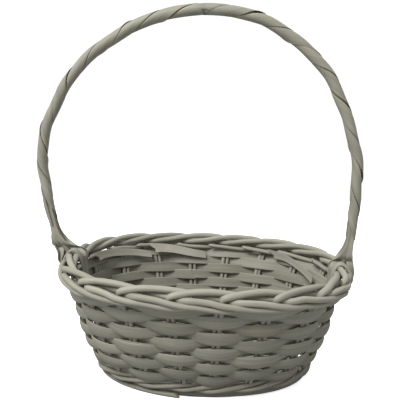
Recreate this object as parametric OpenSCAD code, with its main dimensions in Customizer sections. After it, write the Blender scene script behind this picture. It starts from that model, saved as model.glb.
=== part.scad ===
// Oval willow basket with a hooped handle.
// A stick base carries eighteen upright stakes, flat split weavers go round them, the stake tops are
// woven down into a three-rod border, and a wrapped bow rises from the two ends of the rim.
// Origin: middle of the flat underside. X along the basket, Y from front to back, Z up.

/* [Basket] */
// Length of the rim over the border
rim_length = 290; // [280:1:300]
// Depth of the rim over the border, front to back
rim_depth = 222; // [212:1:232]
// Height of the border's top above the ground
rim_height = 119; // [112:1:126]
// Length of the base over the foot
base_length = 215; // [208:1:222]
// Depth of the base over the foot
base_depth = 133; // [128:1:138]
// Squareness of the oval rim, where 2 is an ellipse
squareness = 2.4; // [2.2:0.1:2.8]
// Squareness of the oval base
base_squareness = 2.1; // [2:0.1:2.4]
// How far the wall swells low down, as a share of its flare
wall_swell = 0.1; // [0:0.01:0.12]
// How far the wall is drawn in just under the border, as a share of its flare
wall_waist = 0.13; // [0:0.01:0.14]
// How much the rim drops from the left end to the right end, in degrees
rim_tilt = 1.5; // [0:0.1:2]
// How far the left end is drawn in at the rim
left_pull = 5; // [0:1:6]

/* [Willow] */
// Thickness of a stake between the weavers
stake_d = 4.2; // [3.8:0.1:4.4]
// Thickness of a stake where it is woven into the border
border_d = 5.2; // [4.6:0.1:5.4]
// Thickness of the short rod beside each stake
by_stake_d = 3.6; // [3:0.1:3.8]
// Thickness of the flat split weavers
weaver_t = 1.4; // [1:0.1:1.6]
// Number of rows of flat weavers
rows = 10; // [10]
// Thickness of the round rods in the base and the foot
round_d = 3.2; // [2.8:0.1:3.4]

/* [Handle] */
// Height of the handle's top above the ground
handle_top = 358; // [345:1:370]
// Widest half-span of the bow's middle line
bow_reach = 154; // [150:1:158]
// Height of the bow's widest place
bow_widest = 199; // [190:1:208]
// How far the bow leans to the left at mid height
bow_lean = 33; // [0:1:36]
// Thickness of the bow rod
bow_d = 6.4; // [5.8:0.1:6.8]
// Thickness of the wrapping skeins
skein_t = 1; // [0.8:0.1:1.2]
// Length along the bow of one turn of a skein
skein_pitch = 62; // [56:1:68]

/* [Hidden] */
$fn = 32;
cross_stick_count = 4;
long_stick_count = 5;
stake_count = 2 * (cross_stick_count + long_stick_count);
border_half = 8;                // half the border's thickness, inside or outside the stakes
weave_low = 16.5;               // height where the lowest flat weaver starts
border_h = 18;                  // height of the border above the weave
weave_high = rim_height - border_h;
stake_low = 7;                  // height of the stakes where they leave the base
top_a = rim_length / 2 - border_half;
top_b = rim_depth / 2 - border_half;
low_a = base_length / 2 - 4;
low_b = base_depth / 2 - 3.5;
bow_foot = top_a + 1;           // half-span of the bow where it leaves the border
pair_at = 0.56;                 // the stake pairs' place in each space, counted from the middle of the front
pair_gap = 2.1;                 // each rod of a pair stands this far to its side of the pair's middle
willow = [0.56, 0.55, 0.49];
willow_dark = [0.46, 0.45, 0.40];
willow_light = [0.64, 0.63, 0.57];

STAKES = [for (i = [1 : stake_count]) str("stake_", i < 10 ? "0" : "", i)];
ROWS = [for (i = [1 : rows]) str("row_", i < 10 ? "0" : "", i)];
CROSS = [for (i = [1 : cross_stick_count]) str("cross_stick_", i)];
LONG = [for (i = [1 : long_stick_count]) str("long_stick_", i)];
WALES = [for (i = [1 : 3]) str("foot_wale_", i)];

// ---- curves shared by the pieces ----

function unit(v) = v / norm(v);
function mix(a, b, f) = a + (b - a) * f;
function wrap(u) = u - stake_count * floor(u / stake_count);
function signed_pow(v, p) = sign(v) * pow(abs(v), p);
function oval(a, b, t, square) = [a * signed_pow(cos(t), 2 / square), b * signed_pow(sin(t), 2 / square)];

// the rim's length round to each angle, so that the stakes can be spaced evenly
arc_steps = 180;
arc_points = [for (i = [0 : arc_steps]) oval(top_a, top_b, -90 + 360 * i / arc_steps, squareness)];
arc_runs = [for (i = 0, s = 0; i <= arc_steps;
    s = s + (i < arc_steps ? norm(arc_points[i + 1] - arc_points[i]) : 0), i = i + 1) s];
arc_table = [for (i = [0 : arc_steps])
    [arc_runs[i] / arc_runs[arc_steps] * stake_count, -90 + 360 * i / arc_steps]];

// a place on the wall: u in stake spaces from the middle of the front, anticlockwise from above;
// h from 0 at the base to 1 at the top of the weave; out towards the outside, along towards larger u
// (the 4 and the 12.2 make the largest swell and the largest waist 1)
function swell(h) = h + wall_swell * 4 * h * (1 - h) - wall_waist * 12.2 * pow(h, 4) * (1 - h);
function wall(u, h, out = 0, along = 0) =
    let (f = swell(h), a = mix(low_a, top_a, f), b = mix(low_b, top_b, f),
         square = mix(base_squareness, squareness, f), p = oval(a, b, lookup(wrap(u), arc_table), square),
         n = unit([signed_pow(p.x / a, square - 1) / a, signed_pow(p.y / b, square - 1) / b]))
    [p.x + left_pull * h * pow(max(0, -p.x / top_a), 4) + out * n.x - along * n.y,
     p.y + out * n.y + along * n.x, mix(stake_low, weave_high, h) - h * tan(rim_tilt) * p.x];
function height_share(z) = (z - stake_low) / (weave_high - stake_low);
// a place up from the top of the weave, or down the wall where up is below 0
function rim(u, out, along, up) =
    wall(u, 1 + min(up, 0) / (weave_high - stake_low), out, along) + [0, 0, max(up, 0)];

// a place on the base: u as on the wall, r outwards from the spine; straight along the front, then
// half-round at the right end, and the same again turned round for the back and the left end
spine = low_a - low_b;
front_half = (cross_stick_count - 1) / 2;
half_count = stake_count / 2;
end_turn = 180 / (long_stick_count + 1);
function base_place(u, r) =
    let (v = wrap(u + front_half), w = v % half_count, q = end_turn * (w - 2 * front_half))
    (v < half_count ? 1 : -1)
        * (w <= 2 * front_half ? [spine * (w / front_half - 1), -r] : [spine + r * sin(q), -r * cos(q)]);

// ---- swept rods and bands ----

function tangent(path, i, closed) =
    let (n = len(path), a = closed ? path[(i + n - 1) % n] : path[max(i - 1, 0)],
         b = closed ? path[(i + 1) % n] : path[min(i + 1, n - 1)])
    unit(b - a);
function square_to(v, t) = unit(v - t * (v * t));
function sides_of(path, first, closed) =
    [for (i = 0, s = square_to(first, tangent(path, 0, closed)); i < len(path); i = i + 1,
        s = square_to(s, tangent(path, min(i, len(path) - 1), closed))) s];
function round_profile(d, n) = [for (k = [0 : n - 1]) d / 2 * [cos(360 * k / n), sin(360 * k / n)]];
function flat_profile(w, t) = [[-w / 2, -t / 2], [w / 2, -t / 2], [w / 2, t / 2], [-w / 2, t / 2]];

// sections holds one closed ring of points for each place along the piece
module skin(sections, closed) {
    n = len(sections);
    m = len(sections[0]);
    polyhedron(
        points = [for (s = sections) each s],
        faces = concat(
            [for (i = [0 : n - (closed ? 1 : 2)], k = [0 : m - 1])
                let (next = (i + 1) % n * m, a = i * m + k, b = i * m + (k + 1) % m,
                     c = next + (k + 1) % m, d = next + k)
                each [[a, b, c], [a, c, d]]],
            closed ? [] : [[for (k = [m - 1 : -1 : 0]) k], [for (k = [0 : m - 1]) (n - 1) * m + k]]),
        convexity = 10);
}

module sweep(path, sides, profile, closed = false, grow = undef) {
    skin([for (i = [0 : len(path) - 1])
        let (t = tangent(path, i, closed), s = square_to(sides[i], t), c = cross(t, s),
             g = is_undef(grow) ? 1 : grow[i])
        [for (q = profile) path[i] + g * (q.x * s + q.y * c)]], closed);
}

// ---- base ----

stick_low = 3.4;
stick_h = 7.4;
stick_w = 9;
long_d = 5;
long_gap = 5.2;
stick_reach = 55;
round_first = 15;
round_pitch = 4.2;
round_count = 10;

// flat bar with a slot through its middle for the long sticks
module cross_stick(i) {
    reach = stick_reach - 0.5;
    color(willow_dark)
        translate([spine * (i / front_half - 1), 0, stick_low])
            difference() {
                translate([-stick_w / 2, -reach, 0]) cube([stick_w, 2 * reach, stick_h]);
                translate([-stick_w, -long_gap * 2 - long_d / 2 - 0.1, (stick_h - long_d) / 2 - 0.1])
                    cube([2 * stick_w, long_gap * 4 + long_d + 0.2, long_d + 0.2]);
            }
}

// round rod that runs the length of the spine and fans out at both ends
module long_stick(i) {
    k = i - (long_stick_count - 1) / 2;
    z = stick_low + stick_h / 2;
    half = [[spine - 20, long_gap * k], [spine + 2, long_gap * k],
        for (r = [round_first, (round_first + stick_reach) / 2, stick_reach])
            [spine + r * cos(end_turn * k), r * sin(end_turn * k)]];
    path = concat([for (j = [4 : -1 : 0]) [-half[j].x, half[j].y, z]], [for (p = half) [p.x, p.y, z]]);
    color(willow_dark) sweep(path, sides_of(path, [0, 0, 1], false), round_profile(long_d, 6));
}

// rounds of thin rod, over one stick and under the next
module base_weave() {
    color(willow) for (j = [0 : round_count - 1]) {
        r = round_first + round_pitch * j;
        path = [for (i = [0 : 2 * stake_count - 1])
            let (p = base_place((i + 0.5) / 2, r), over = (floor(i / 2) + j) % 2 == 0 ? 1 : -1)
            [p.x, p.y, stick_low + (stick_h + over * (stick_h + round_d)) / 2]];
        sweep(path, sides_of(path, [0, 0, 1], true), round_profile(round_d, 4), true);
    }
}

// oval hoop under the stakes, flattened underneath where the basket stands
hoop_h = 4.6;
hoop_out = 3.4;
hoop_in = 1.8;
module foot_hoop() {
    color(willow_dark) linear_extrude(hoop_h) difference() {
        polygon([for (i = [0 : 71]) oval(low_a + hoop_out, low_b + hoop_out, 5 * i, base_squareness)]);
        polygon([for (i = [0 : 71]) oval(low_a - hoop_in, low_b - hoop_in, 5 * i, base_squareness)]);
    }
}

// one of three rods twisted round the stakes: outside two stakes, inside the third,
// climbing over the other two on its way; listed in half stake spaces
wale_out = [-4, 0.6, 4, 4.4, 4, 0.6];
wale_rise = [0, -2.4, -2.4, 0, 2.4, 2.4];
wale_mid = 11.4;
module foot_wale(j) {
    path = [for (i = [0 : 2 * stake_count - 1])
        let (k = (i + 6 - 2 * j) % 6, p = wall(pair_at + i / 2, height_share(wale_mid), wale_out[k]))
        [p.x, p.y, wale_mid + wale_rise[k]]];
    color(willow) sweep(path, sides_of(path, [0, 0, 1], true), round_profile(round_d, 6), true);
}

// ---- wall ----

// a stake starts in the base beside a stick, climbs the wall and is laid down into the border:
// inside two stakes, outside two, and inside again, where its cut end rests.
// Each place in the border is along in stake spaces, out, up and thickness as a share of border_d
border_walk = [[0, 0.3, 4.5, 0.92], [0.01, 1.6, 8.6, 1], [0.07, 2.9, 11.2, 1.06], [0.22, 2.6, 13.4, 1.1],
    [0.5, -0.4, 15, 1.12], [0.85, -3.2, 15.1, 1.12], [1.15, -4.6, 13.8, 1.08], [1.5, -5.4, 11.3, 1.05],
    [1.85, -5, 9.1, 1.02], [2, -4.4, 8.5, 1.02], [2.12, -2.2, 7.9, 1], [2.25, 1.8, 8.2, 1],
    [2.4, 5, 9.4, 1], [2.6, 5.8, 9.6, 1], [2.85, 6.1, 8.2, 0.98], [3, 6.3, 6.6, 0.96],
    [3.3, 6, 4.9, 0.94], [3.6, 5.1, 3.7, 0.92], [4, 4.9, 1.9, 0.9], [4.2, 3, 1.4, 0.88],
    [4.45, -2.2, 1.4, 0.86], [4.75, -6, 2.1, 0.85], [5.05, -7.2, 3.4, 0.84], [5.45, -8, 4.8, 0.82]];
base_tuck = 6.8;
stake_shares = [0.04, 0.2, 0.4, 0.6, 0.8, 0.9, 1];

function stake_path(i) =
    let (u = i + pair_at,
         foot = [for (r = [stick_reach - 3, stick_reach + 2])
             let (p = base_place(i + 0.5, r), t = unit(base_place(i + 0.6, r) - p) * base_tuck)
             [p.x + t.x, p.y + t.y, stake_low]])
    concat(foot,
        [for (h = stake_shares) wall(u, h, 0, pair_gap)],
        [for (b = border_walk) rim(u + b[0], b[1], b[0] < 0.02 ? pair_gap : 0, b[2])]);

module stake(i) {
    path = stake_path(i);
    upright = len(path) - len(border_walk);
    grow = concat([for (j = [1 : upright]) 1], [for (b = border_walk) b[3] * border_d / stake_d]);
    color(willow_light)
        sweep(path, sides_of(path, [0, 0, 1], false), round_profile(stake_d, 6), false, grow);
}

// short rod pushed down beside each stake; at the two ends the bow's legs take its place
module by_stakes() {
    color(willow_light) for (i = [0 : stake_count - 1]) if (i % half_count != floor(half_count / 2)) {
        path = [for (h = [0.09, 0.3, 0.5, 0.7, 0.85, 0.94, 1.02]) wall(i + pair_at, h, 0, -pair_gap)];
        sweep(path, sides_of(path, [0, 0, 1] + path[0] / 100, false), round_profile(by_stake_d, 6));
    }
}

row_pitch = (weave_high - weave_low) / rows;
weaver_out = (stake_d + weaver_t) / 2 + 0.05;

// flat split weaver: outside every second stake pair and inside the others
module row(j) {
    h = height_share(weave_low + row_pitch * (j + 0.5));
    steps = 4;
    places = [for (i = [0 : steps * stake_count - 1]) pair_at + i / steps];
    path = [for (i = [0 : steps * stake_count - 1])
        wall(places[i], h, weaver_out * cos(180 * i / steps) * (j % 2 == 0 ? 1 : -1))];
    sides = [for (u = places) wall(u, h + 0.05) - wall(u, h - 0.05)];
    color(j % 2 == 0 ? willow : willow_dark)
        sweep(path, sides, flat_profile(row_pitch - 0.15, weaver_t), true);
}

// ---- handle ----

leg_low = 0.45;                 // how far down the wall the bow's legs reach, as a share of its height
leg_d = 4.6;
apex = handle_top - bow_d / 2 - 2 * skein_t;
bow_start = weave_high + border_h;
lower_run = bow_widest - bow_start;
arch_run = PI * (bow_reach + apex - bow_widest) / 2;
bow_run = 2 * lower_run + arch_run;
bow_power = 2.2;

// the bow's middle line at a run l from the left end of the rim
function bow(l) =
    let (k = l < bow_run / 2 ? -1 : 1, m = min(l, bow_run - l),
         q = m < lower_run
             ? [bow_reach - (bow_reach - bow_foot) * pow(1 - m / lower_run, bow_power), bow_start + m]
             : let (a = 180 * (m - lower_run) / arch_run)
               [bow_reach * cos(a), bow_widest + (apex - bow_widest) * sin(a)],
         s = (q[1] - bow_start) / (apex - bow_start))
    [k * q[0] + bow_lean * s * (s - 0.95), 0, q[1] - k * tan(rim_tilt) * bow_foot * (1 - s)];

// the two ends of the basket, -1 the left and 1 the right, as stake spaces
function end_place(k) = (k < 0 ? 1.5 : 0.5) * half_count;
function bow_leg(k) = [for (h = [leg_low, 0.7, 0.95]) let (p = wall(end_place(k), h)) [p.x, 0, p.z]];

module handle_bow() {
    steps = 36;
    left = bow_leg(-1);
    right = bow_leg(1);
    path = concat(left, [for (i = [0 : steps]) bow(bow_run * i / steps)], [for (i = [2 : -1 : 0]) right[i]]);
    n = len(path);
    grow = [for (i = [0 : n - 1]) let (m = min(i, n - 1 - i)) m < 3 ? 1 : m == 3 ? 1.15 : bow_d / leg_d];
    color(willow_dark) sweep(path, sides_of(path, [0, 1, 0], false), round_profile(leg_d, 8), false, grow);
}

// flat skein wound round the bow; turn is +1 or -1, share is its width as a part of the pitch
tail_run = 22;                  // how far up the bow from the rim the skeins end and part
module skein(turn, start, share, layer) {
    margin = tail_run + 2;
    per_turn = 10;
    half = skein_pitch * share / 2;
    steps = floor((bow_run - 2 * margin - 2 * half) / skein_pitch * per_turn);
    inner = bow_d / 2 + layer * (skein_t + 0.05) + 0.05;
    function around(l, angle, r) =
        let (s = cross(unit(bow(l + 1) - bow(l - 1)), [0, 1, 0]))
        bow(l) + r * (cos(angle) * s + [0, sin(angle), 0]);
    color(layer == 0 ? willow : willow_light) skin([for (i = [0 : steps])
        let (l = margin + half + i * skein_pitch / per_turn, angle = turn * (start + 360 * i / per_turn))
        let (q = [around(l - half, angle, inner), around(l + half, angle, inner),
                  around(l + half, angle, inner + skein_t), around(l - half, angle, inner + skein_t)])
        turn > 0 ? [for (k = [3 : -1 : 0]) q[k]] : q], false);
}

// ends of the skeins, spread like a letter A: one goes down inside the border, one outside
tail_w = 7;
tail_off = (bow_d + skein_t) / 2 + 0.05;
tail_walk = [[8.4, 16], [9.8, 5], [6.4, -9]];
module tails(k) {
    base = bow(k < 0 ? tail_run : bow_run - tail_run);
    color(willow_light) for (side = [-1, 1]) {
        path = concat([base + [k * side * tail_off, 0, 0]],
            [for (b = tail_walk) rim(end_place(k), side * b[0], -1, b[1])]);
        sweep(path, [for (p = path) [0, 1, 0]], flat_profile(tail_w, skein_t));
    }
}

// round rod tied twice over the border in front of the bow's foot; each place is along, out and up
lashing_d = 3.6;
lashing_first = -6.5;
lashing_step = lashing_d + 0.4;
lashing_walk = [[0, -7, -7], [-0.3, -9.8, 4], [-0.6, -7.6, 14], [-0.8, -2.4, 19.8],
    [-1, 4.2, 16], [-1.3, 8.8, 5], [-1.6, 6.5, -6]];
module lashing(k) {
    color(willow_light) for (s = [0, 1]) {
        path = [for (t = lashing_walk)
            rim(end_place(k), t[1], k * (lashing_first + t[0] - s * lashing_step), t[2])];
        sweep(path, sides_of(path, [0, 1, 0], false), round_profile(lashing_d, 6));
    }
}

for (i = [0 : cross_stick_count - 1]) cross_stick(i);
for (i = [0 : long_stick_count - 1]) long_stick(i);
base_weave();
foot_hoop();
for (i = [0 : 2]) foot_wale(i);
for (i = [0 : stake_count - 1]) stake(i);
by_stakes();
for (i = [0 : rows - 1]) row(i);
handle_bow();
skein(1, 270, 0.47, 1);  // skein_1
skein(1, 90, 0.47, 1);  // skein_2
skein(-1, 90, 0.6, 0);  // skein_3
tails(-1);  // left_tails
tails(1);  // right_tails
lashing(-1);  // left_lashing
lashing(1);  // right_lashing
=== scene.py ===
import math
import random

import bmesh
import bpy
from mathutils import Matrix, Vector


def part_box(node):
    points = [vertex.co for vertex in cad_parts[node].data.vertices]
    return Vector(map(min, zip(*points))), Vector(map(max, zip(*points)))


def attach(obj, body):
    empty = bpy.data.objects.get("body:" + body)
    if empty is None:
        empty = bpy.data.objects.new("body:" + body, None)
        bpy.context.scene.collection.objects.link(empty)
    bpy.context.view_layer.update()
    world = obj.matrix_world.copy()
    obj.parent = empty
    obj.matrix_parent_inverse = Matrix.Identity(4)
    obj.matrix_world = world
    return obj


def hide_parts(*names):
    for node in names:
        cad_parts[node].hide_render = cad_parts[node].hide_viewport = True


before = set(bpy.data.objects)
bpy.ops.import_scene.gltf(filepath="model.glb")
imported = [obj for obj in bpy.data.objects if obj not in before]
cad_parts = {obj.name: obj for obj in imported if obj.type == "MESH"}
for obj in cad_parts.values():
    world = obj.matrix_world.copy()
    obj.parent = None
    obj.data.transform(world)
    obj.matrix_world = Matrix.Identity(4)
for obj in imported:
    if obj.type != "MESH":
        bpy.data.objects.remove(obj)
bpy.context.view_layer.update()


# ---- camera ----
# Stands at the height of the handle, half a metre in front of the basket and a little to its right,
# looking down on the rim.

aim = Vector((0, 0, 0.150))
away = 0.5205
turned = math.radians(5.83)
raised = math.radians(12.05)
camera = bpy.data.objects.new("camera", bpy.data.cameras.new("camera"))
bpy.context.scene.collection.objects.link(camera)
camera.location = aim + away * Vector((math.sin(turned) * math.cos(raised),
                                       -math.cos(turned) * math.cos(raised), math.sin(raised)))
camera.rotation_euler = (aim - camera.location).to_track_quat("-Z", "Y").to_euler()
camera.data.sensor_width = 36
camera.data.lens = 47.02
camera.data.shift_x = -0.0063
camera.data.shift_y = 0.0645
camera.data.clip_start = 0.01
bpy.context.scene.camera = camera


# ---- studio ----
# A wide white sheet under the basket, a white room round it, a broad lamp high in front to the left
# and a weak one behind.

# the paper's white and its glow, first as the basket gets them, and also as the oval of painted shade under
# the basket looks, then as they look elsewhere
paper_white = (0.34, 0.95)
paper_glow = (0.0, 0.7)
# the share of the foot's oval within which the paper is painted darker, as painted shade under the basket
painted_shade_share = 0.97


def maths(tree, operation, a, b=None, clamp=False):
    node = tree.nodes.new("ShaderNodeMath")
    node.operation = operation
    node.use_clamp = clamp
    for socket, value in zip(node.inputs, (a, b)):
        if isinstance(value, (int, float)):
            socket.default_value = value
        elif value is not None:
            tree.links.new(value, socket)
    return node.outputs[0]


def sheet_of_paper(width):
    bm = bmesh.new()
    bmesh.ops.create_grid(bm, x_segments=2, y_segments=2, size=width / 2)
    mesh = bpy.data.meshes.new("floor")
    bm.to_mesh(mesh)
    bm.free()
    paper = bpy.data.materials.new("white_paper")
    paper.use_nodes = True
    shader = paper.node_tree.nodes["Principled BSDF"]
    shader.inputs["Roughness"].default_value = 0.9
    # The paper looks white but throws back only part of the light, so that the wall's outside stays
    # shaded. The oval of it under the basket has no glow and is duller: painted shade standing in for the
    # basket's shadow, so that its white doesn't show through openings in the base and the wall.
    tree = paper.node_tree
    path = tree.nodes.new("ShaderNodeLightPath")
    place = tree.nodes.new("ShaderNodeTexCoord")
    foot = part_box("foot_hoop")[1]
    oval_place = tree.nodes.new("ShaderNodeMapping")
    oval_place.inputs["Scale"].default_value = (1 / foot.x, 1 / foot.y, 0)
    from_middle = tree.nodes.new("ShaderNodeVectorMath")
    from_middle.operation = "LENGTH"
    tree.links.new(place.outputs["Object"], oval_place.inputs["Vector"])
    tree.links.new(oval_place.outputs["Vector"], from_middle.inputs[0])
    # 1 outside the oval under the basket; inside it the paper keeps its darker painted shade
    clear = maths(tree, "GREATER_THAN", from_middle.outputs["Value"], painted_shade_share)
    bright = maths(tree, "MULTIPLY", clear, path.outputs["Is Camera Ray"])
    for label, (hidden, seen) in (("Base Color", paper_white), ("Emission Strength", paper_glow)):
        level = tree.nodes.new("ShaderNodeMapRange")
        level.inputs["To Min"].default_value = hidden
        level.inputs["To Max"].default_value = seen
        tree.links.new(bright, level.inputs["Value"])
        tree.links.new(level.outputs["Result"], shader.inputs[label])
    shader.inputs["Emission Color"].default_value = (1, 1, 1, 1)
    mesh.materials.append(paper)
    floor = bpy.data.objects.new("floor", mesh)
    bpy.context.scene.collection.objects.link(floor)


def lamp(name, place, size, power):
    light = bpy.data.lights.new(name, "AREA")
    light.shape = "DISK"
    light.size = size
    light.energy = power
    stand = bpy.data.objects.new(name, light)
    bpy.context.scene.collection.objects.link(stand)
    stand.location = place
    stand.rotation_euler = (aim - Vector(place)).to_track_quat("-Z", "Y").to_euler()


def white_room(seen, given):
    """A room that looks white and gives less light than it seems to, so that the lamps do the modelling."""
    world = bpy.data.worlds.new("white_room")
    bpy.context.scene.world = world
    world.use_nodes = True
    tree = world.node_tree
    background = tree.nodes["Background"]
    background.inputs["Color"].default_value = (1, 1, 1, 1)
    path = tree.nodes.new("ShaderNodeLightPath")
    strength = tree.nodes.new("ShaderNodeMapRange")
    strength.inputs["To Min"].default_value = given
    strength.inputs["To Max"].default_value = seen
    tree.links.new(path.outputs["Is Camera Ray"], strength.inputs["Value"])
    tree.links.new(strength.outputs["Result"], background.inputs["Strength"])


sheet_of_paper(2.2)
white_room(1.05, 0.60)
lamp("overhead_lamp", (-0.7, -0.9, 1.5), 0.9, 36)
lamp("back_lamp", (0.5, 0.9, 1.4), 1.2, 8)
bpy.context.scene.view_settings.view_transform = "Standard"


# ---- base sticks ----
# Four flat split sticks lie across the base, each opened in the middle so that five round sticks
# pass through it; together they make the slath that everything else is woven round.

cross_count = 4
long_count = 5
stake_count = 2 * (cross_count + long_count)
hoop_out = 0.0034
hoop_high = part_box("foot_hoop")[1]
low_a = hoop_high.x - hoop_out
low_b = hoop_high.y - hoop_out
spine = low_a - low_b
stick_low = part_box("cross_stick_1")[0].z
stick_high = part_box("cross_stick_1")[1].z
stick_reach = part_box("cross_stick_1")[1].y
stick_wide = 0.009
slot_half = 0.0027
long_thick = 0.005
long_gap = 0.0052
end_turn = math.radians(180 / (long_count + 1))
front_half = (cross_count - 1) / 2


def new_piece():
    """An empty mesh in which each point also knows its place in the straight rod it came from."""
    bm = bmesh.new()
    bm.verts.layers.float_vector.new("section")
    bm.verts.layers.float_vector.new("grain")
    bm.verts.layers.float.new("tone")
    bm.verts.layers.float.new("cut")
    return bm


def draw_out(bm, stations, corners, tone, start):
    """Draws a round section out along its stations: (place function, width, thickness, run, cut)."""
    section = bm.verts.layers.float_vector["section"]
    grain = bm.verts.layers.float_vector["grain"]
    tone_of = bm.verts.layers.float["tone"]
    cut_of = bm.verts.layers.float["cut"]

    def settle(verts, station):
        place, width, thick, run, cut = station
        for v in verts:
            x, y, _ = v[section]
            v.co = place(x, y)
            v[grain] = Vector((x * width / 2 + start, y * thick / 2, run + start))
            v[tone_of] = tone
            v[cut_of] = cut

    ring = bmesh.ops.create_circle(bm, cap_ends=False, segments=corners, radius=1)["verts"]
    for v in ring:
        v[section] = v.co.copy()
    settle(ring, stations[0])
    edges = list({e for v in ring for e in v.link_edges})
    first = list(edges)
    for station in stations[1:]:
        drawn = bmesh.ops.extrude_edge_only(bm, edges=edges)["geom"]
        verts = [g for g in drawn if isinstance(g, bmesh.types.BMVert)]
        fresh = set(verts)
        edges = [g for g in drawn if isinstance(g, bmesh.types.BMEdge) and fresh.issuperset(g.verts)]
        settle(verts, station)
    for end in (first, edges):
        bmesh.ops.edgeloop_fill(bm, edges=end)


def flowing(points, step):
    """Points joined by a smooth line, with a place about every step; each point may carry more numbers."""
    line = []
    for i in range(len(points) - 1):
        a, b, c, d = points[max(i - 1, 0)], points[i], points[i + 1], points[min(i + 2, len(points) - 1)]
        count = max(1, round(math.dist(b[:3], c[:3]) / step))
        for j in range(count):
            t = j / count
            line.append([0.5 * (2 * q + (r - p) * t + (2 * p - 5 * q + 4 * r - s) * t ** 2
                                + (3 * q - p - 3 * r + s) * t ** 3) for p, q, r, s in zip(a, b, c, d)])
    line.append(list(points[-1]))
    return line


def directions(line):
    """Unit directions along a line of places."""
    return [(Vector(line[min(i + 1, len(line) - 1)][:3]) - Vector(line[max(i - 1, 0)][:3])).normalized()
            for i in range(len(line))]


def rod_stations(line, side, widths, thicks, shape=lambda x, y: (x, y), cuts=(0.0, 0.0), tips=0.0006):
    """Stations of a rod along a line. Side is one direction, kept from twisting, or one for each place.
    Each end gets a short softened edge and then its cut face, slanted by the given amount."""
    stations = []
    run = 0.0
    heading = directions(line)
    last = len(line) - 1
    across = None
    for i, (point, t) in enumerate(zip(line, heading)):
        centre = Vector(point[:3])
        if i:
            run += (centre - Vector(line[i - 1][:3])).length
        across = side[i] if isinstance(side, list) else (side if across is None else across)
        across = (across - t * across.dot(t)).normalized()
        up = t.cross(across)
        width, thick = widths[i], thicks[i]

        def place(x, y, centre=centre, across=across, up=up, t=t, width=width, thick=thick, k=1.0, slant=0.0):
            x, y = shape(x, y)
            return centre + across * (k * x * width / 2) + up * (k * y * thick / 2) + t * (slant * x)

        slant = cuts[0] if i == 0 else cuts[1] if i == last else 0.0
        if i in (0, last):
            edge = (lambda x, y, f=place, s=slant: f(x, y, slant=s), width, thick, run, 0.0)
            sign = -1 if i == 0 else 1
            face_at = centre + t * (sign * tips * 0.4)
            face = (lambda x, y, f=place, s=slant, c=face_at: f(x, y, centre=c, slant=s, k=0.84),
                    width, thick, run, 1.0)
            stations += [face, edge] if i == 0 else [edge, face]
        else:
            stations.append((place, width, thick, run, 0.0))
    return stations


def rod(line, side, width, tone, thick=None, corners=10, shape=lambda x, y: (x, y), cuts=(0.0, 0.0),
        start=0.0):
    """One length of willow as its own mesh. Width and thickness are a number or one number for each place."""
    widths = width if isinstance(width, list) else [width] * len(line)
    thicks = widths if thick is None else thick if isinstance(thick, list) else [thick] * len(line)
    bm = new_piece()
    draw_out(bm, rod_stations(line, side, widths, thicks, shape, cuts), corners, tone, start)
    return bm


def willow_piece(name, node, lengths, finish):
    """Joins lengths of willow into one object that stands for a node of the frame."""
    whole = new_piece()
    for bm in lengths:
        bmesh.ops.recalc_face_normals(bm, faces=bm.faces)
        part = bpy.data.meshes.new("length")
        bm.to_mesh(part)
        bm.free()
        whole.from_mesh(part)
        bpy.data.meshes.remove(part)
    for face in whole.faces:
        face.smooth = len(face.verts) == 4
    mesh = bpy.data.meshes.new(name)
    whole.to_mesh(mesh)
    whole.free()
    mesh.materials.append(finish)
    piece = bpy.data.objects.new(name, mesh)
    bpy.context.scene.collection.objects.link(piece)
    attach(piece, "root")
    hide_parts(node)
    return piece


def node_group(name, inputs, outputs):
    """An empty shader group with its sockets named; returns the group and its two end nodes."""
    group = bpy.data.node_groups.new(name, "ShaderNodeTree")
    for in_out, sockets in (("INPUT", inputs), ("OUTPUT", outputs)):
        for label, kind in sockets:
            group.interface.new_socket(label, in_out=in_out, socket_type="NodeSocket" + kind)
    return group, group.nodes.new("NodeGroupInput"), group.nodes.new("NodeGroupOutput")


def mixed(tree, factor, a, b):
    node = tree.nodes.new("ShaderNodeMix")
    node.data_type = "RGBA"
    for socket, value in zip((node.inputs[0], node.inputs[6], node.inputs[7]), (factor, a, b)):
        if isinstance(value, (int, float, tuple)):
            socket.default_value = value
        else:
            tree.links.new(value, socket)
    return node.outputs[2]


def fibre_group():
    """Long fibres that follow the rod: fine ones, and broad streaks of three to five millimetres."""
    group, given, result = node_group(
        "willow_fibres", [("Grain", "Vector"), ("Across", "Float"), ("Along", "Float")],
        [("Fine", "Float"), ("Broad", "Float"), ("Patches", "Float")])
    parts = group.nodes.new("ShaderNodeSeparateXYZ")
    group.links.new(given.outputs["Grain"], parts.inputs[0])
    for label, across, along, detail in (("Fine", 1.0, 1.0, 5), ("Broad", 0.3, 0.6, 3),
                                         ("Patches", 0.09, 1.2, 4)):
        stretched = group.nodes.new("ShaderNodeCombineXYZ")
        for axis in range(3):
            rate = maths(group, "MULTIPLY", given.outputs["Along" if axis == 2 else "Across"],
                         along if axis == 2 else across)
            group.links.new(maths(group, "MULTIPLY", parts.outputs[axis], rate), stretched.inputs[axis])
        noise = group.nodes.new("ShaderNodeTexNoise")
        noise.inputs["Scale"].default_value = 1
        noise.inputs["Detail"].default_value = detail
        noise.inputs["Roughness"].default_value = 0.62
        group.links.new(stretched.outputs[0], noise.inputs["Vector"])
        group.links.new(noise.outputs[0], result.inputs[label])
    return group


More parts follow.
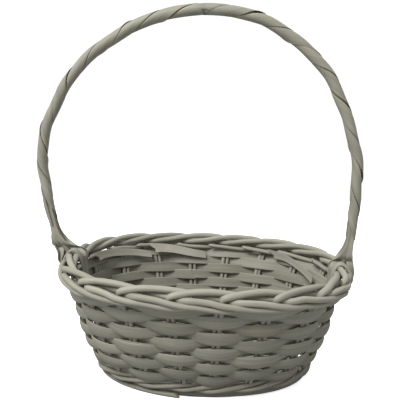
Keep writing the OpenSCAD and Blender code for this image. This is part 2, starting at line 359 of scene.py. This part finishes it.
def wash_group():
    """Thin grey paint over willow: fibres show through it, it is worn off in patches and on cut ends; the
    bare colour also paints a highlight along one skein edge.
    """
    group, given, result = node_group(
        "grey_wash",
        [("Fine", "Float"), ("Broad", "Float"), ("Patches", "Float"), ("Tone", "Float"), ("Cut", "Float"),
         ("Paint", "Color"), ("Shade", "Color"), ("Bare", "Color"), ("Wear", "Float")],
        [("Color", "Color"), ("Roughness", "Float"), ("Height", "Float")])
    ask = given.outputs
    streaks = maths(group, "ADD", maths(group, "MULTIPLY", ask["Fine"], 1.3),
                    maths(group, "MULTIPLY", ask["Broad"], 1.1))
    streaks = maths(group, "ADD", maths(group, "ADD", streaks, ask["Tone"]), -1.2, clamp=True)
    washed = mixed(group, streaks, ask["Shade"], ask["Paint"])
    worn = maths(group, "MULTIPLY", maths(group, "SUBTRACT", ask["Patches"], 0.60), 9, clamp=True)
    worn = maths(group, "MULTIPLY", worn, ask["Wear"])
    fresh = maths(group, "MULTIPLY", ask["Cut"], 0.75)
    bared = maths(group, "MAXIMUM", worn, fresh, clamp=True)
    group.links.new(mixed(group, bared, washed, ask["Bare"]), result.inputs["Color"])
    rough = maths(group, "ADD", maths(group, "MULTIPLY", ask["Fine"], 0.3), 0.42)
    group.links.new(rough, result.inputs["Roughness"])
    group.links.new(maths(group, "ADD", maths(group, "MULTIPLY", ask["Fine"], 0.6),
                          maths(group, "MULTIPLY", ask["Broad"], 0.6)), result.inputs["Height"])
    return group


willow_fibres = fibre_group()
grey_wash = wash_group()


# The bare colour is that of bare wood; on one skein edge it also paints a highlight.
def washed_willow(name, paint, shade, bare_and_highlight=(0.42, 0.35, 0.225), across=900, along=26, wear=0.3, relief=0.4):
    """Grey-washed willow; across and along set how fine and how long its fibres are."""
    material = bpy.data.materials.new(name)
    material.use_nodes = True
    tree = material.node_tree
    shader = tree.nodes["Principled BSDF"]
    shader.inputs["Specular IOR Level"].default_value = 0.35

    def known(label):
        node = tree.nodes.new("ShaderNodeAttribute")
        node.attribute_name = label
        return node

    fibres = tree.nodes.new("ShaderNodeGroup")
    fibres.node_tree = willow_fibres
    fibres.inputs["Across"].default_value = across
    fibres.inputs["Along"].default_value = along
    tree.links.new(known("grain").outputs["Vector"], fibres.inputs["Grain"])
    wash = tree.nodes.new("ShaderNodeGroup")
    wash.node_tree = grey_wash
    for label, colour in (("Paint", paint), ("Shade", shade), ("Bare", bare_and_highlight)):
        wash.inputs[label].default_value = (*colour, 1)
    wash.inputs["Wear"].default_value = wear
    for label in ("Fine", "Broad", "Patches"):
        tree.links.new(fibres.outputs[label], wash.inputs[label])
    tree.links.new(known("tone").outputs["Fac"], wash.inputs["Tone"])
    tree.links.new(known("cut").outputs["Fac"], wash.inputs["Cut"])
    tree.links.new(wash.outputs["Color"], shader.inputs["Base Color"])
    tree.links.new(wash.outputs["Roughness"], shader.inputs["Roughness"])
    bump = tree.nodes.new("ShaderNodeBump")
    bump.inputs["Strength"].default_value = relief
    bump.inputs["Distance"].default_value = 0.0006
    tree.links.new(wash.outputs["Height"], bump.inputs["Height"])
    tree.links.new(bump.outputs["Normal"], shader.inputs["Normal"])
    return material


def squared(x, y):
    """A rod split and shaved flat on its faces."""
    return (x, math.copysign(abs(y) ** 0.6, y))


chance = random.Random(11)
stick_finish = washed_willow("washed_stick", (0.27, 0.263, 0.215), (0.15, 0.145, 0.112),
                             across=700, wear=0.5)
mid_z = (stick_low + stick_high) / 2
for i in range(cross_count):
    x = spine * (i / front_half - 1)
    halves = []
    for k in (-1, 1):
        # each half lies against the other at its ends and is sprung apart by the long sticks
        line = []
        for j in range(25):
            y = stick_reach * (j / 12 - 1)
            opened = slot_half + 0.0001 if abs(y) < 2.5 * long_gap else 0.0002
            gap = slot_half if abs(y) < 2.6 * long_gap else opened
            thick = (stick_high - stick_low) / 2 - gap
            line.append([x + chance.uniform(-0.0002, 0.0002), y, mid_z + k * (gap + thick / 2), thick])
        widths = [stick_wide * (1 - 0.25 * abs(p[1] / stick_reach) ** 3) for p in line]
        halves.append(rod(line, Vector((1, 0, 0)), widths, chance.uniform(0.3, 0.6),
                          thick=[p[3] for p in line], corners=12, shape=squared,
                          start=chance.uniform(0, 9)))
    willow_piece(f"cross_stick_{i + 1}_split", f"cross_stick_{i + 1}", halves, stick_finish)

for i in range(long_count):
    k = i - (long_count - 1) / 2
    half = [[spine - 0.02, long_gap * k], [spine + 0.002, long_gap * k]]
    half += [[spine + r * math.cos(end_turn * k), r * math.sin(end_turn * k)]
             for r in (0.015, (0.015 + stick_reach) / 2, stick_reach)]
    points = [[-x, y, mid_z] for x, y in reversed(half)] + [[x, y, mid_z] for x, y in half]
    line = flowing(points, 0.004)
    knots = [1 + 0.06 * math.exp(-((j % 17) - 8) ** 2 / 4) for j in range(len(line))]
    taper = [long_thick * (1.0 - 0.12 * j / len(line)) * knots[j] for j in range(len(line))]
    willow_piece(f"long_stick_{i + 1}_round", f"long_stick_{i + 1}",
                 [rod(line, Vector((0, 0, 1)), taper, chance.uniform(0.3, 0.6), start=chance.uniform(0, 9))],
                 stick_finish)


# ---- base weave ----
# Two thin round rods worked in pairing from the middle outwards: where one passes over a stick
# the other passes under it, so the rounds lock the sticks in place.

round_thick = 0.0032
round_first = 0.015
round_edge = 0.0036
base_squareness = 2.1
round_count = 12


def on_base(u, r):
    """A place on the base: u in stake spaces from the middle of the front, r outwards from the spine."""
    v = (u + front_half) % stake_count
    w = v % (stake_count / 2)
    q = end_turn * (w - 2 * front_half)
    if w <= 2 * front_half:
        x, y = spine * (w / front_half - 1), -r
    else:
        x, y = spine + r * math.sin(q), -r * math.cos(q)
    return (x, y) if v < stake_count / 2 else (-x, -y)


def last_round(u):
    """How far out the rounds may go at u, so that the last one lies against the hoop and the stakes."""
    low, high = round_first, 2 * low_b
    for _ in range(20):
        middle = (low + high) / 2
        x, y = on_base(u, middle)
        inside = (abs(x / (low_a - round_edge)) ** base_squareness
                  + abs(y / (low_b - round_edge)) ** base_squareness) < 1
        low, high = (middle, high) if inside else (low, middle)
    return low


rounds = []
for k in range(2):
    points = []
    for i in range(round_count * stake_count + 1):
        u = (i + 0.5) / 2
        share = (k + max(0, 2 * u / stake_count - 2)) / (round_count - 1)
        r = round_first + (last_round(u) - round_first) * share
        over = 1 if (i // 2 + k) % 2 == 0 else -1
        x, y = on_base(u, r)
        lift = (stick_high - stick_low + round_thick) / 2 * over * (0.75 if i % 2 else 0.88)
        points.append([x, y, mid_z + lift])
    rounds.append(rod(flowing(points, 0.0035), Vector((0, 0, 1)), round_thick * 1.08,
                      chance.uniform(0.4, 0.6), corners=8, start=chance.uniform(0, 9)))
round_finish = washed_willow("washed_base_round", (0.28, 0.272, 0.222), (0.155, 0.15, 0.115), wear=0.4)
willow_piece("base_rounds_paired", "base_weave", rounds, round_finish)


# ---- foot ----
# An oval hoop of round rod under the stakes, worn flat where the basket stands, and above it three
# thin rods twisted round the stakes as they turn up.

weave_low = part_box("row_01")[0].z + 0.0007
rim_squareness = 2.4
wall_swell = 0.1
wall_waist = 0.13
left_pull = 0.005
rim_tilt = math.radians(1.5)
border_high = 0.018
stake_low = 0.007
top_a = 0.137
top_b = 0.103
weave_high = 0.101
pair_at = 0.56
pair_gap = 0.0021


def power(v, p):
    return math.copysign(abs(v) ** p, v)


def oval(a, b, t, square):
    """A place on a squared oval of half length a and half depth b, at an angle t."""
    return a * power(math.cos(t), 2 / square), b * power(math.sin(t), 2 / square)


oval_steps = 360
oval_points = [oval(top_a, top_b, math.radians(-90 + 360 * i / oval_steps), rim_squareness)
               for i in range(oval_steps + 1)]
oval_runs = [0.0]
for i in range(oval_steps):
    oval_runs.append(oval_runs[-1] + math.dist(oval_points[i], oval_points[i + 1]))


def angle_at(u):
    """The oval's angle for a place u counted in stake spaces round the rim, from the middle of the front."""
    run = (u % stake_count) / stake_count * oval_runs[-1]
    i = next(k for k in range(oval_steps) if run <= oval_runs[k + 1])
    share = (run - oval_runs[i]) / (oval_runs[i + 1] - oval_runs[i])
    return math.radians(-90 + 360 * (i + share) / oval_steps)


def wall(u, h, out=0.0, along=0.0):
    """A place on the wall: h from 0 at the base to 1 at the top of the weave, out from it and along it."""
    flare = h + wall_swell * 4 * h * (1 - h) - wall_waist * 12.2 * h ** 4 * (1 - h)
    a = low_a + (top_a - low_a) * flare
    b = low_b + (top_b - low_b) * flare
    square = base_squareness + (rim_squareness - base_squareness) * flare
    x, y = oval(a, b, angle_at(u), square)
    n = Vector((power(x / a, square - 1) / a, power(y / b, square - 1) / b)).normalized()
    pulled = x + left_pull * h * max(0, -x / top_a) ** 4
    return Vector((pulled + out * n.x - along * n.y, y + out * n.y + along * n.x,
                   stake_low + (weave_high - stake_low) * h - h * math.tan(rim_tilt) * x))


def height_share(z):
    return (z - stake_low) / (weave_high - stake_low)


def rim(u, out, along, up):
    """A place up from the top of the weave, or down the wall where up is below 0."""
    share = 1 + min(up, 0) / (weave_high - stake_low)
    return wall(u, share, out, along) + Vector((0, 0, max(up, 0)))


chance = random.Random(12)
hoop_thick = hoop_high.z
hoop_deep = 0.0050
hoop_steps = 156
hoop_sprung = 24
foot_finish = washed_willow("washed_foot_rod", (0.28, 0.272, 0.222), (0.15, 0.145, 0.112),
                            (0.26, 0.22, 0.15), wear=0.35)
line = []
for i in range(hoop_steps + 1):
    t = math.radians(-128 + 2.5 * i)
    # its two ends lie side by side at the front, and the outer one has sprung a little way out
    spare = 0.0012 * (i / hoop_steps * 2 - 1)
    spare += 0.0035 * max(0, (i - hoop_steps + hoop_sprung) / hoop_sprung) ** 2
    x, y = oval(low_a + 0.0008 + spare, low_b + 0.0008 + spare, t, base_squareness)
    line.append([x, y, hoop_thick / 2])
hoop = rod(line, Vector((0, 0, 1)), hoop_thick, 0.35, thick=hoop_deep, corners=14, cuts=(0.002, -0.002),
           start=3)
willow_piece("foot_hoop_rod", "foot_hoop", [hoop], foot_finish)

wale_out = (-0.004, 0.0006, 0.004, 0.0044, 0.004, 0.0006)
wale_rise = (0, -0.0024, -0.0024, 0, 0.0024, 0.0024)
wale_mid = 0.0114
wale_thick = round_thick * 1.28
for j in range(3):
    points = []
    for i in range(2 * stake_count + 4):
        k = (i + 6 - 2 * j) % 6
        p = wall(pair_at + i / 2 + 6 * j, height_share(wale_mid), wale_out[k])
        points.append([p.x, p.y, wale_mid + wale_rise[k] + chance.uniform(-0.0002, 0.0002)])
    line = flowing(points, 0.003)
    widths = [wale_thick * (1 + 0.08 * math.sin(0.09 * i + j)) for i in range(len(line))]
    twist = rod(line, Vector((0, 0, 1)), widths,
                chance.uniform(0.35, 0.6), corners=10, cuts=(0.001, 0.001), start=chance.uniform(0, 9))
    willow_piece(f"foot_wale_{j + 1}_rod", f"foot_wale_{j + 1}", [twist], foot_finish)


# ---- stakes ----
# Eighteen round willow rods pushed in beside the base sticks and turned up for the wall. Their tops
# are softened and laid down into the border: inside two stakes, outside two, and inside to end.

stake_thick = 0.0042
border_thick = 0.0052
base_tuck = 0.0068
border_walk = (
    (0.00, 0.0003, 0.0045, 0.92), (0.01, 0.0016, 0.0086, 1.02), (0.07, 0.0029, 0.0112, 1.12),
    (0.22, 0.0026, 0.0134, 1.19), (0.50, -0.0004, 0.0150, 1.20), (0.85, -0.0032, 0.0151, 1.18),
    (1.15, -0.0046, 0.0138, 1.14), (1.50, -0.0054, 0.0113, 1.11), (1.85, -0.0050, 0.0091, 1.09),
    (2.00, -0.0044, 0.0085, 1.08), (2.12, -0.0022, 0.0079, 1.07), (2.25, 0.0018, 0.0082, 1.08),
    (2.40, 0.0050, 0.0094, 1.09), (2.60, 0.0058, 0.0096, 1.08), (2.85, 0.0061, 0.0082, 1.06),
    (3.00, 0.0063, 0.0066, 1.04), (3.30, 0.0060, 0.0049, 1.03), (3.60, 0.0051, 0.0037, 1.00),
    (4.00, 0.0049, 0.0019, 0.96), (4.20, 0.0030, 0.0014, 0.93), (4.45, -0.0022, 0.0014, 0.90),
    (4.75, -0.0060, 0.0021, 0.88), (5.05, -0.0072, 0.0034, 0.87), (5.45, -0.0080, 0.0048, 0.85))
stake_finish = washed_willow("washed_stake", (0.34, 0.332, 0.275), (0.20, 0.194, 0.152),
                             across=620, along=18, wear=0.3)
chance = random.Random(13)
for i in range(stake_count):
    u = i + pair_at
    ends_at = chance.uniform(-0.18, 0.10)
    stout = chance.uniform(0.94, 1.06)
    points = []
    for r in (stick_reach - 0.003, stick_reach + 0.002):
        p = Vector(on_base(i + 0.5, r))
        q = Vector(on_base(i + 0.6, r))
        p = p + (q - p).normalized() * base_tuck
        points.append([p.x, p.y, stake_low, stake_thick * 1.05])
    lean = chance.uniform(-0.0009, 0.0009)
    for h in (0.04, 0.2, 0.4, 0.6, 0.8, 0.9, 1.0):
        points.append([*wall(u, h, 0, pair_gap + lean * h), stake_thick * stout])
    for j, (du, out, up, grow) in enumerate(border_walk):
        jog = 0.0004 if 0 < j < len(border_walk) - 1 else 0
        p = rim(u + du + (ends_at if j == len(border_walk) - 1 else 0), out + chance.uniform(-jog, jog),
                pair_gap + lean if j < 2 else 0, up + chance.uniform(-jog, jog))
        points.append([*p, border_thick * grow * stout])
    line = flowing(points, 0.0028)
    stake = rod(line, Vector((0, 0, 1)), [p[3] for p in line], chance.uniform(0.35, 0.75), corners=12,
                cuts=(0, chance.choice((-1, 1)) * 0.0035), start=chance.uniform(0, 9))
    willow_piece(f"stake_{i + 1:02d}_rod", f"stake_{i + 1:02d}", [stake], stake_finish)


# ---- by-stakes ----
# Short thin rods pushed down into the weave beside the stakes to stiffen the wall; at the two ends
# the legs of the handle take their place.

by_thick = 0.0036
by_rise = 0.0055
by_finish = washed_willow("washed_by_stake", (0.32, 0.312, 0.258), (0.19, 0.184, 0.144), wear=0.35)
shorts = []
for i in range(stake_count):
    if i % 9 == 4:
        continue
    lean = chance.uniform(-0.0007, 0.0005)
    points = [[*wall(i + pair_at, h, 0, -pair_gap + lean * h)]
              for h in (0.09, 0.3, 0.5, 0.7, 0.85, 0.94, 1.0)]
    points.append([*rim(i + pair_at, 0, -pair_gap + lean, by_rise)])
    line = flowing(points, 0.004)
    widths = [by_thick * (0.92 + 0.14 * j / len(line)) for j in range(len(line))]
    shorts.append(rod(line, Vector((0, 1, 0.01)), widths,
                      chance.uniform(0.3, 0.7), corners=10, start=chance.uniform(0, 9)))
willow_piece("by_stakes_rods", "by_stakes", shorts, by_finish)


# ---- weavers ----
# Flat lengths split from thick willow, bark side out, woven in front of one pair of stakes and
# behind the next. Each round is one length whose ends overlap across two spaces.

row_count = 10
row_pitch = (weave_high - weave_low) / row_count
weaver_thick = 0.0015
weaver_wide = 1.32
swell_outside = 0.30
swell_inside = 0.06
weaver_out = (stake_thick + weaver_thick) / 2 + 0.0006
per_space = 12


def split_skin(x, y):
    """The section of a split: domed outside, flat inside and thin at its edges."""
    return (x, power(y, 0.7) * (1 - 0.45 * x * x) + 0.95 * (1 - x * x))


weaver_finish = washed_willow("washed_weaver", (0.29, 0.282, 0.230), (0.165, 0.16, 0.124),
                              across=520, along=14, wear=0.25, relief=0.5)
chance = random.Random(14)
# each spare end: its places (stake spaces, out, up), width at its start and tone
spare_ends = (
    (((9.15, -0.0055, -0.0060), (9.5, -0.0105, -0.0035), (10.1, -0.0128, 0.0008), (10.65, -0.0130, 0.0022)),
     0.0085, 1.3),
    (((10.75, -0.0112, -0.0050), (11.3, -0.0118, -0.0015), (12.1, -0.0118, 0.0015), (12.75, -0.0112, 0.0025)),
     0.0075, 0.7),
    (((5.5, -0.0112, -0.0120), (6.0, -0.0118, -0.0070), (6.7, -0.0118, -0.0005), (7.2, -0.0112, 0.0020)),
     0.0065, 0.9))
spare_lean = Vector((0, 0.5, 0.87))
knot = rim(10.2, -0.0135, 0, 0.0022)
knot_size = 0.0032
for j in range(row_count):
    first = 2 * chance.randrange(stake_count // 2) + (j + 1) % 2
    spaces = stake_count + 2
    phases = [chance.uniform(0, 6.28) for _ in range(4)]
    broad = chance.uniform(0.96, 1.06)
    line, sides, widths, thicks = [], [], [], []
    for i in range(spaces * per_space + 1):
        s = i / per_space
        u = pair_at + first + s
        swing = math.cos(math.pi * (first + s)) * (1 if j % 2 == 0 else -1)
        doubled = 0.0008 * (min(1, max(0, 2.5 - s)) - min(1, max(0, s - stake_count + 0.5)))
        wobble = 0.0003 * math.sin(0.7 * s + phases[0]) + 0.0003 * math.sin(1.9 * s + phases[1])
        h = height_share(weave_low + row_pitch * (j + 0.5) + wobble - 0.0007 * swing)
        out = weaver_out * power(swing, 0.85) - doubled
        p = wall(u, h, out)
        up = (wall(u, h + 0.05) - wall(u, h - 0.05)).normalized()
        line.append([*p])
        sides.append((up * 0.8 + Vector((0, 0, 0.2))).normalized())
        fray = 1 + 0.04 * math.sin(2.3 * s + phases[2])
        swell = swell_outside if swing > 0 else swell_inside
        widths.append(row_pitch * broad * fray * (weaver_wide + swell * swing * swing))
        thicks.append(weaver_thick)
    band = rod(line, sides, widths, chance.uniform(0.25, 0.75), thick=thicks, corners=14, shape=split_skin,
               cuts=(0.003, -0.003), start=chance.uniform(0, 9))
    bands = [band]
    if j == row_count - 1:
        # spare ends of the top weaver are laid over the inside of the back wall, one with a bared knot
        for spare_walk, spare_wide, spare_tone in spare_ends:
            line = flowing([[*rim(u, out, 0, up)] for u, out, up in spare_walk], 0.003)
            spare_widths = [spare_wide * (1 + 0.3 * i / len(line)) for i in range(len(line))]
            spare = rod(line, spare_lean, spare_widths, spare_tone, thick=weaver_thick, corners=24,
                        shape=split_skin, cuts=(0.001, 0.007), start=3.3)
            cut = spare.verts.layers.float["cut"]
            for v in spare.verts:
                v[cut] = max(v[cut], 0.9 * math.exp(-((v.co - knot).length / knot_size) ** 2))
            bands.append(spare)
    willow_piece(f"row_{j + 1:02d}_split", f"row_{j + 1:02d}", bands, weaver_finish)


# ---- handle bow ----
# A thick willow rod bent into a tall hoop. Its pointed ends are pushed down into the wall beside
# the end stakes, and it leans a little to the left where the rod is weaker.

bow_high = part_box("handle_bow")[1]
bow_thick = 0.0064
leg_thick = 0.0046
leg_share = 0.45
bow_reach = 0.154
bow_foot = top_a + 0.001
bow_widest = 0.199
bow_lean = 0.033
bow_power = 2.2
bow_start = weave_high + border_high
apex = bow_high.z - bow_thick / 2
lower_run = bow_widest - bow_start
arch_run = math.pi * (bow_reach + apex - bow_widest) / 2
bow_run = 2 * lower_run + arch_run


def bow(run):
    """The middle of the bow at a run from the left end of the rim."""
    k = -1 if run < bow_run / 2 else 1
    m = min(run, bow_run - run)
    if m < lower_run:
        x = bow_reach - (bow_reach - bow_foot) * (1 - m / lower_run) ** bow_power
        z = bow_start + m
    else:
        a = math.pi * (m - lower_run) / arch_run
        x = bow_reach * math.cos(a)
        z = bow_widest + (apex - bow_widest) * math.sin(a)
    s = (z - bow_start) / (apex - bow_start)
    # the rod is a little crooked everywhere, and bulges outwards above its left foot
    crooked = (0.0008 * math.sin(72 * run) + 0.0005 * math.sin(151 * run + 1)) * min(1, m / 0.05)
    x += 0.0036 * math.exp(-((m - 0.012) / 0.020) ** 2) if k < 0 else 0
    x += crooked
    return Vector((k * x + bow_lean * s * (s - 0.95), 0, z - k * math.tan(rim_tilt) * bow_foot * (1 - s)))


def end_place(k):
    return (1.5 if k < 0 else 0.5) * stake_count / 2


def bow_leg(k):
    return [[wall(end_place(k), h).x, 0, wall(end_place(k), h).z, leg_thick * (0.8 + 0.2 * h)]
            for h in (leg_share, 0.7, 0.95)]


bow_finish = washed_willow("washed_bow", (0.26, 0.25, 0.20), (0.14, 0.132, 0.10), across=500, wear=0.3)
bow_points = bow_leg(-1)
for i in range(61):
    l = bow_run * i / 60
    bow_points.append([*bow(l), bow_thick])
bow_points += reversed(bow_leg(1))
line = flowing(bow_points, 0.004)
willow_piece("handle_bow_rod", "handle_bow",
             [rod(line, Vector((0, 1, 0)), [p[3] for p in line], 0.4, corners=14, start=5)], bow_finish)


# ---- skeins ----
# Flat skeins shaved from willow and wound round the bow to cover it: first one lining skein, then
# two side by side the other way. The first of these has an edge that lifts, the second a bare edge
# painted pale, partly as bare wood and partly as a painted highlight.

skein_thick = 0.0010
skein_pitch = 0.062
skein_margin = 0.022
turn_steps = 32


def around(run, angle, radius):
    """A place beside the bow: the angle is 0 on its outside and a quarter turn at its back."""
    t = (bow(min(run + 0.001, bow_run)) - bow(max(run - 0.001, 0))).normalized()
    side = t.cross(Vector((0, 1, 0)))
    return bow(run) + radius * (math.cos(angle) * side + math.sin(angle) * Vector((0, 1, 0)))


def skein(turn, start, share, layer, tone, phase, lifted=0.0, bare_and_highlight=0.0):
    """One skein wound round the bow; each section of it lies along the bow."""
    half = skein_pitch * share / 2
    inner = bow_thick / 2 + layer * (skein_thick + 0.00005) + 0.00005
    count = int((bow_run - 2 * skein_margin - 2 * half) / skein_pitch * turn_steps)
    stations = []
    for i in range(count + 1):
        l = skein_margin + half + i * skein_pitch / turn_steps
        angle = turn * (start + 2 * math.pi * i / turn_steps)
        reach = half * (1 + 0.03 * math.sin(0.21 * i + phase) + 0.02 * math.sin(0.057 * i + 2 * phase))
        l += 0.0016 * math.sin(0.13 * i + phase)
        k = 0.85 if i in (0, count) else 1.0
        curl = lifted * (0.6 + 0.4 * math.sin(0.31 * i + phase))

        def place(x, y, l=l, angle=angle, reach=reach, k=k, curl=curl):
            domed = 0.5 + 0.5 * power(y, 0.7) * (1 - 0.3 * x * x)
            radius = inner + skein_thick * domed + curl * max(0, x) ** 3
            return around(l + k * x * reach, angle, radius)

        stations.append((place, reach * 0.9, skein_thick, i * skein_pitch / turn_steps * 1.12, 0.0))
    bm = new_piece()
    draw_out(bm, stations, 20, tone, phase)
    section = bm.verts.layers.float_vector["section"]
    cut = bm.verts.layers.float["cut"]
    # its trailing edge is painted pale: partly the bare cut side of the skein, partly a painted highlight on
    # that edge
    for v in bm.verts:
        if v[section].x < -0.93:
            v[cut] = bare_and_highlight
    return bm


skein_finish = washed_willow("washed_skein", (0.30, 0.292, 0.238), (0.185, 0.18, 0.138),
                             across=420, along=12, wear=0.3, relief=0.35)
for node, wound in (("skein_1", skein(1, 1.5 * math.pi, 0.485, 1, 0.42, 1.3, lifted=0.0013)),
                    ("skein_2", skein(1, math.pi / 2, 0.485, 1, 0.55, 2.9, lifted=0.0003, bare_and_highlight=1.0)),
                    ("skein_3", skein(-1, math.pi / 2, 0.9, 0, 0.3, 4.1))):
    willow_piece(f"{node}_wound", node, [wound], skein_finish)


# ---- skein tails ----
# At each foot of the handle the skeins part like the legs of a letter A: one goes down inside the
# border and one outside it, and both are tucked into the weave.

tail_wide = 0.0072
tail_thick = 0.0014
tail_apart = 0.0032
tail_sprung = 0.0055
# down the bow: run from the rim, spread along the basket, and how far the tail stands off the bow
tail_parting = ((0.046, 0.0, 0.0), (0.026, 0.0, 0.0), (0.018, 0.0004, 0.0008),
                (0.012, 0.0016, 0.0010), (0.006, 0.0040, 0.0002))
# over the border: out and up
tail_walk = ((0.0084, 0.016), (0.0098, 0.005), (0.0064, -0.009))
strip_wide = 0.0030
strip_thick = 0.0020
strip_walk = ((0.0165, 0.016), (0.0160, 0.007), (0.0098, -0.003))
chance = random.Random(15)
for k, label in ((-1, "left"), (1, "right")):
    tails = []
    for side in (-1, 1):
        for face in (-1, 1):
            # side -1 goes inside the border; face -1 lies on the front of the bow
            points = []
            # the outer tails of the left foot are spread further and go straight down over the border
            sprung = k < 0 and side > 0
            for run, spread, proud in tail_parting:
                p = bow(run if k < 0 else bow_run - run)
                parted = spread * (1.7 if sprung else 1)
                points.append([p.x + k * side * parted, face * (bow_thick / 2 + proud), p.z])
            for out, up in tail_walk:
                out += tail_sprung if sprung and up > 0 else 0
                p = rim(end_place(k), side * out, -k * face * tail_apart, up)
                points.append([p.x, p.y, p.z + chance.uniform(-0.001, 0.001)])
            line = flowing(points, 0.002)
            # the broad face looks forwards where the skein leaves the bow and turns to lie against the border
            turns = []
            for i in range(len(line)):
                a = math.radians(70) * (i / len(line)) ** 2.5
                turns.append(Vector((math.cos(a), k * side * face * math.sin(a), 0.2 * k * side)))
            tails.append(rod(line, turns, tail_wide, chance.uniform(0.45, 0.75), thick=tail_thick, corners=12,
                             shape=squared, cuts=(0.001, 0.002), start=chance.uniform(0, 9)))
    if k < 0:
        # a thin strip that has come loose bows out beside the left foot
        points = [[bow(0.018).x - 0.0036, -0.003, bow(0.018).z],
                  [bow(0.010).x - 0.0070, -0.004, bow(0.010).z]]
        points += [[*rim(end_place(k), out, 0.005, up)] for out, up in strip_walk]
        tails.append(rod(flowing(points, 0.002), Vector((0, 1, 0)), strip_wide, 0.05,
                         thick=strip_thick, corners=12, start=2))
    willow_piece(f"{label}_skein_tails", f"{label}_tails", tails, skein_finish)


# ---- lashings ----
# A thin round rod tied twice over the border in front of each foot of the handle, which holds
# the bow and the skeins down.

lashing_thick = 0.0036
lashing_first = -0.0065
lashing_step = 0.0040
# over the border: along, out and up
lashing_walk = ((0.0, -0.0070, -0.0070), (-0.0003, -0.0098, 0.0040), (-0.0006, -0.0076, 0.0140),
                (-0.0008, -0.0024, 0.0198), (-0.0010, 0.0042, 0.0160), (-0.0013, 0.0088, 0.0050),
                (-0.0016, 0.0065, -0.0060))
lashing_finish = washed_willow("washed_lashing", (0.33, 0.322, 0.266), (0.19, 0.185, 0.145), wear=0.3)
for k, label in ((-1, "left"), (1, "right")):
    ties = []
    for s in range(2):
        points = [[*rim(end_place(k), out, k * (lashing_first + along - s * lashing_step), up)]
                  for along, out, up in lashing_walk]
        line = flowing(points, 0.002)
        ties.append(rod(line, Vector((0, 1, 0)), lashing_thick * (0.86 if k < 0 else 1), 0.55 + 0.1 * k,
                        corners=12, start=chance.uniform(0, 9)))
    willow_piece(f"{label}_lashing_rods", f"{label}_lashing", ties, lashing_finish)
